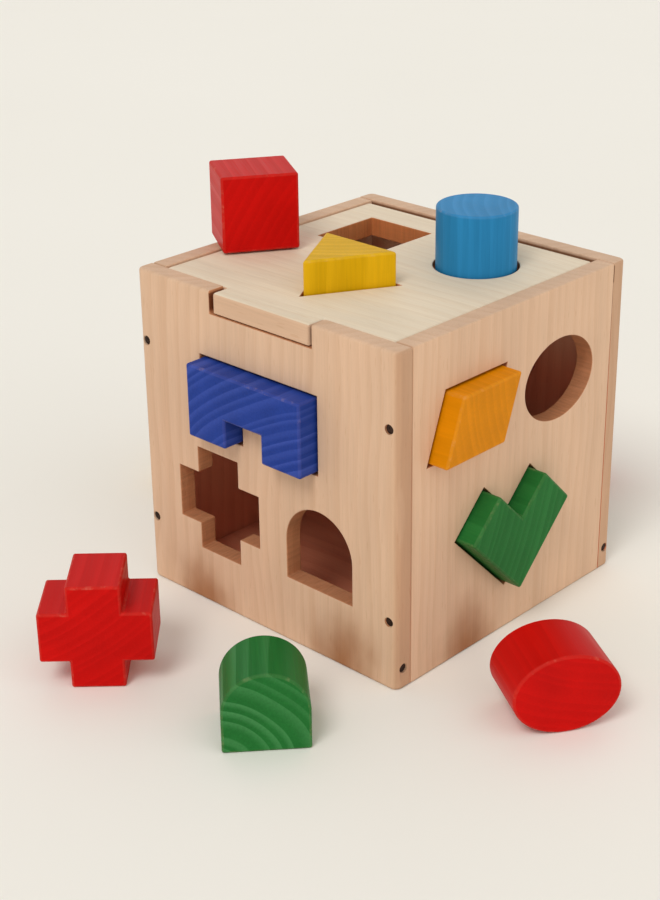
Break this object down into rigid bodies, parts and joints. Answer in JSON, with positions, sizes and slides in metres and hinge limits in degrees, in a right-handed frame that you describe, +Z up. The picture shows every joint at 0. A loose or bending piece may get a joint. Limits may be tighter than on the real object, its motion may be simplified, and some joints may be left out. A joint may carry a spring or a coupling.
{
  "type": "shape sorter",
  "caption": "Cube-shaped wooden shape sorter: a box with shaped holes in its walls and hinged lid, and a painted wooden block for each hole.",
  "frame": {"origin": "centre of the underside of the box, on the floor panel", "axes": "+Z up; the front wall, with the lid's tongue, looks along -Y; the right wall looks along +X"},
  "size_m": [0.2926, 0.3065, 0.1723],
  "materials": {
    "wall_wood": "bare pale wood, upright grain",
    "side_wood": "bare pale wood, upright grain",
    "lid_wood": "bare pale wood, lighter than the walls",
    "floor_wood": "bare pale wood",
    "red_paint": "satin red stain on wood, grain showing",
    "dark_blue_paint": "satin blue stain on wood, grain showing",
    "light_blue_paint": "satin light blue stain on wood",
    "yellow_paint": "satin yellow stain on wood",
    "amber_paint": "satin amber stain on wood",
    "green_paint": "satin green stain on wood, growth rings showing",
    "nail_steel": "dull dark steel",
    "pin_steel": "plain drawn steel"
  },
  "bodies": {
    "box": {"front_wall": "wall_wood", "back_wall": "wall_wood", "left_wall": "side_wood", "right_wall": "side_wood", "floor_panel": "floor_wood", "front_nail_left_low": "nail_steel", "front_nail_left_high": "nail_steel", "front_nail_right_low": "nail_steel", "front_nail_right_high": "nail_steel", "back_nail_left_low": "nail_steel", "back_nail_left_high": "nail_steel", "back_nail_right_low": "nail_steel", "back_nail_right_high": "nail_steel", "front_corner_pin_left": "nail_steel", "front_corner_pin_right": "nail_steel", "back_corner_pin_left": "nail_steel", "back_corner_pin_right": "nail_steel"},
    "lid": {"lid": "lid_wood", "hinge_pin_left": "pin_steel", "hinge_pin_right": "pin_steel"},
    "bridge": {"bridge_block": "dark_blue_paint"},
    "cross": {"cross_block": "red_paint"},
    "arch": {"arch_block": "green_paint"},
    "parallelogram": {"parallelogram_block": "amber_paint"},
    "oval": {"oval_block": "red_paint"},
    "chevron": {"chevron_block": "green_paint"},
    "rhombus": {"rhombus_block": "red_paint"},
    "hexagon": {"hexagon_block": "green_paint"},
    "trapezoid": {"trapezoid_block": "red_paint"},
    "octagon": {"octagon_block": "red_paint"},
    "quadrant": {"quadrant_block": "yellow_paint"},
    "pentagon": {"pentagon_block": "dark_blue_paint"},
    "cylinder": {"cylinder_block": "light_blue_paint"},
    "triangle": {"triangle_block": "yellow_paint"},
    "cube": {"cube_block": "red_paint"}
  },
  "joints": [
    {"name": "lid_hinge", "type": "hinge", "parent": "box", "child": "lid", "pos_m": [0, 0.054, 0.13525], "axis": [-1, 0, 0], "range_deg": [0, 110]},
    {"name": "bridge_slide", "type": "slide", "parent": "box", "child": "bridge", "axis": [0, -1, 0], "range_m": [-0.015, 0.021]},
    {"name": "parallelogram_slide", "type": "slide", "parent": "box", "child": "parallelogram", "axis": [1, 0, 0], "range_m": [-0.015, 0.021]},
    {"name": "chevron_slide", "type": "slide", "parent": "box", "child": "chevron", "axis": [1, 0, 0], "range_m": [-0.015, 0.021]},
    {"name": "rhombus_slide", "type": "slide", "parent": "box", "child": "rhombus", "axis": [0, 1, 0], "range_m": [-0.015, 0.021]},
    {"name": "hexagon_slide", "type": "slide", "parent": "box", "child": "hexagon", "axis": [0, 1, 0], "range_m": [-0.015, 0.021]},
    {"name": "pentagon_slide", "type": "slide", "parent": "box", "child": "pentagon", "axis": [-1, 0, 0], "range_m": [-0.015, 0.021]},
    {"name": "cylinder_slide", "type": "slide", "parent": "lid", "child": "cylinder", "axis": [0, 0, 1], "range_m": [-0.024, 0.02]},
    {"name": "triangle_slide", "type": "slide", "parent": "lid", "child": "triangle", "axis": [0, 0, 1], "range_m": [-0.012, 0.02]},
    {"name": "cube_lift", "type": "slide", "parent": "lid", "child": "cube", "axis": [0, 0, 1], "range_m": [0, 0.05]},
    {"name": "cross_lift", "type": "slide", "parent": "box", "child": "cross", "axis": [0, 0, 1], "range_m": [0, 0.06]},
    {"name": "arch_lift", "type": "slide", "parent": "box", "child": "arch", "axis": [0, 0, 1], "range_m": [0, 0.06]},
    {"name": "oval_lift", "type": "slide", "parent": "box", "child": "oval", "axis": [0, 0, 1], "range_m": [0, 0.06]},
    {"name": "trapezoid_lift", "type": "slide", "parent": "box", "child": "trapezoid", "axis": [0, 0, 1], "range_m": [0, 0.06]},
    {"name": "octagon_lift", "type": "slide", "parent": "box", "child": "octagon", "axis": [0, 0, 1], "range_m": [0, 0.06]},
    {"name": "quadrant_lift", "type": "slide", "parent": "box", "child": "quadrant", "axis": [0, 0, 1], "range_m": [0, 0.06]}
  ]
}
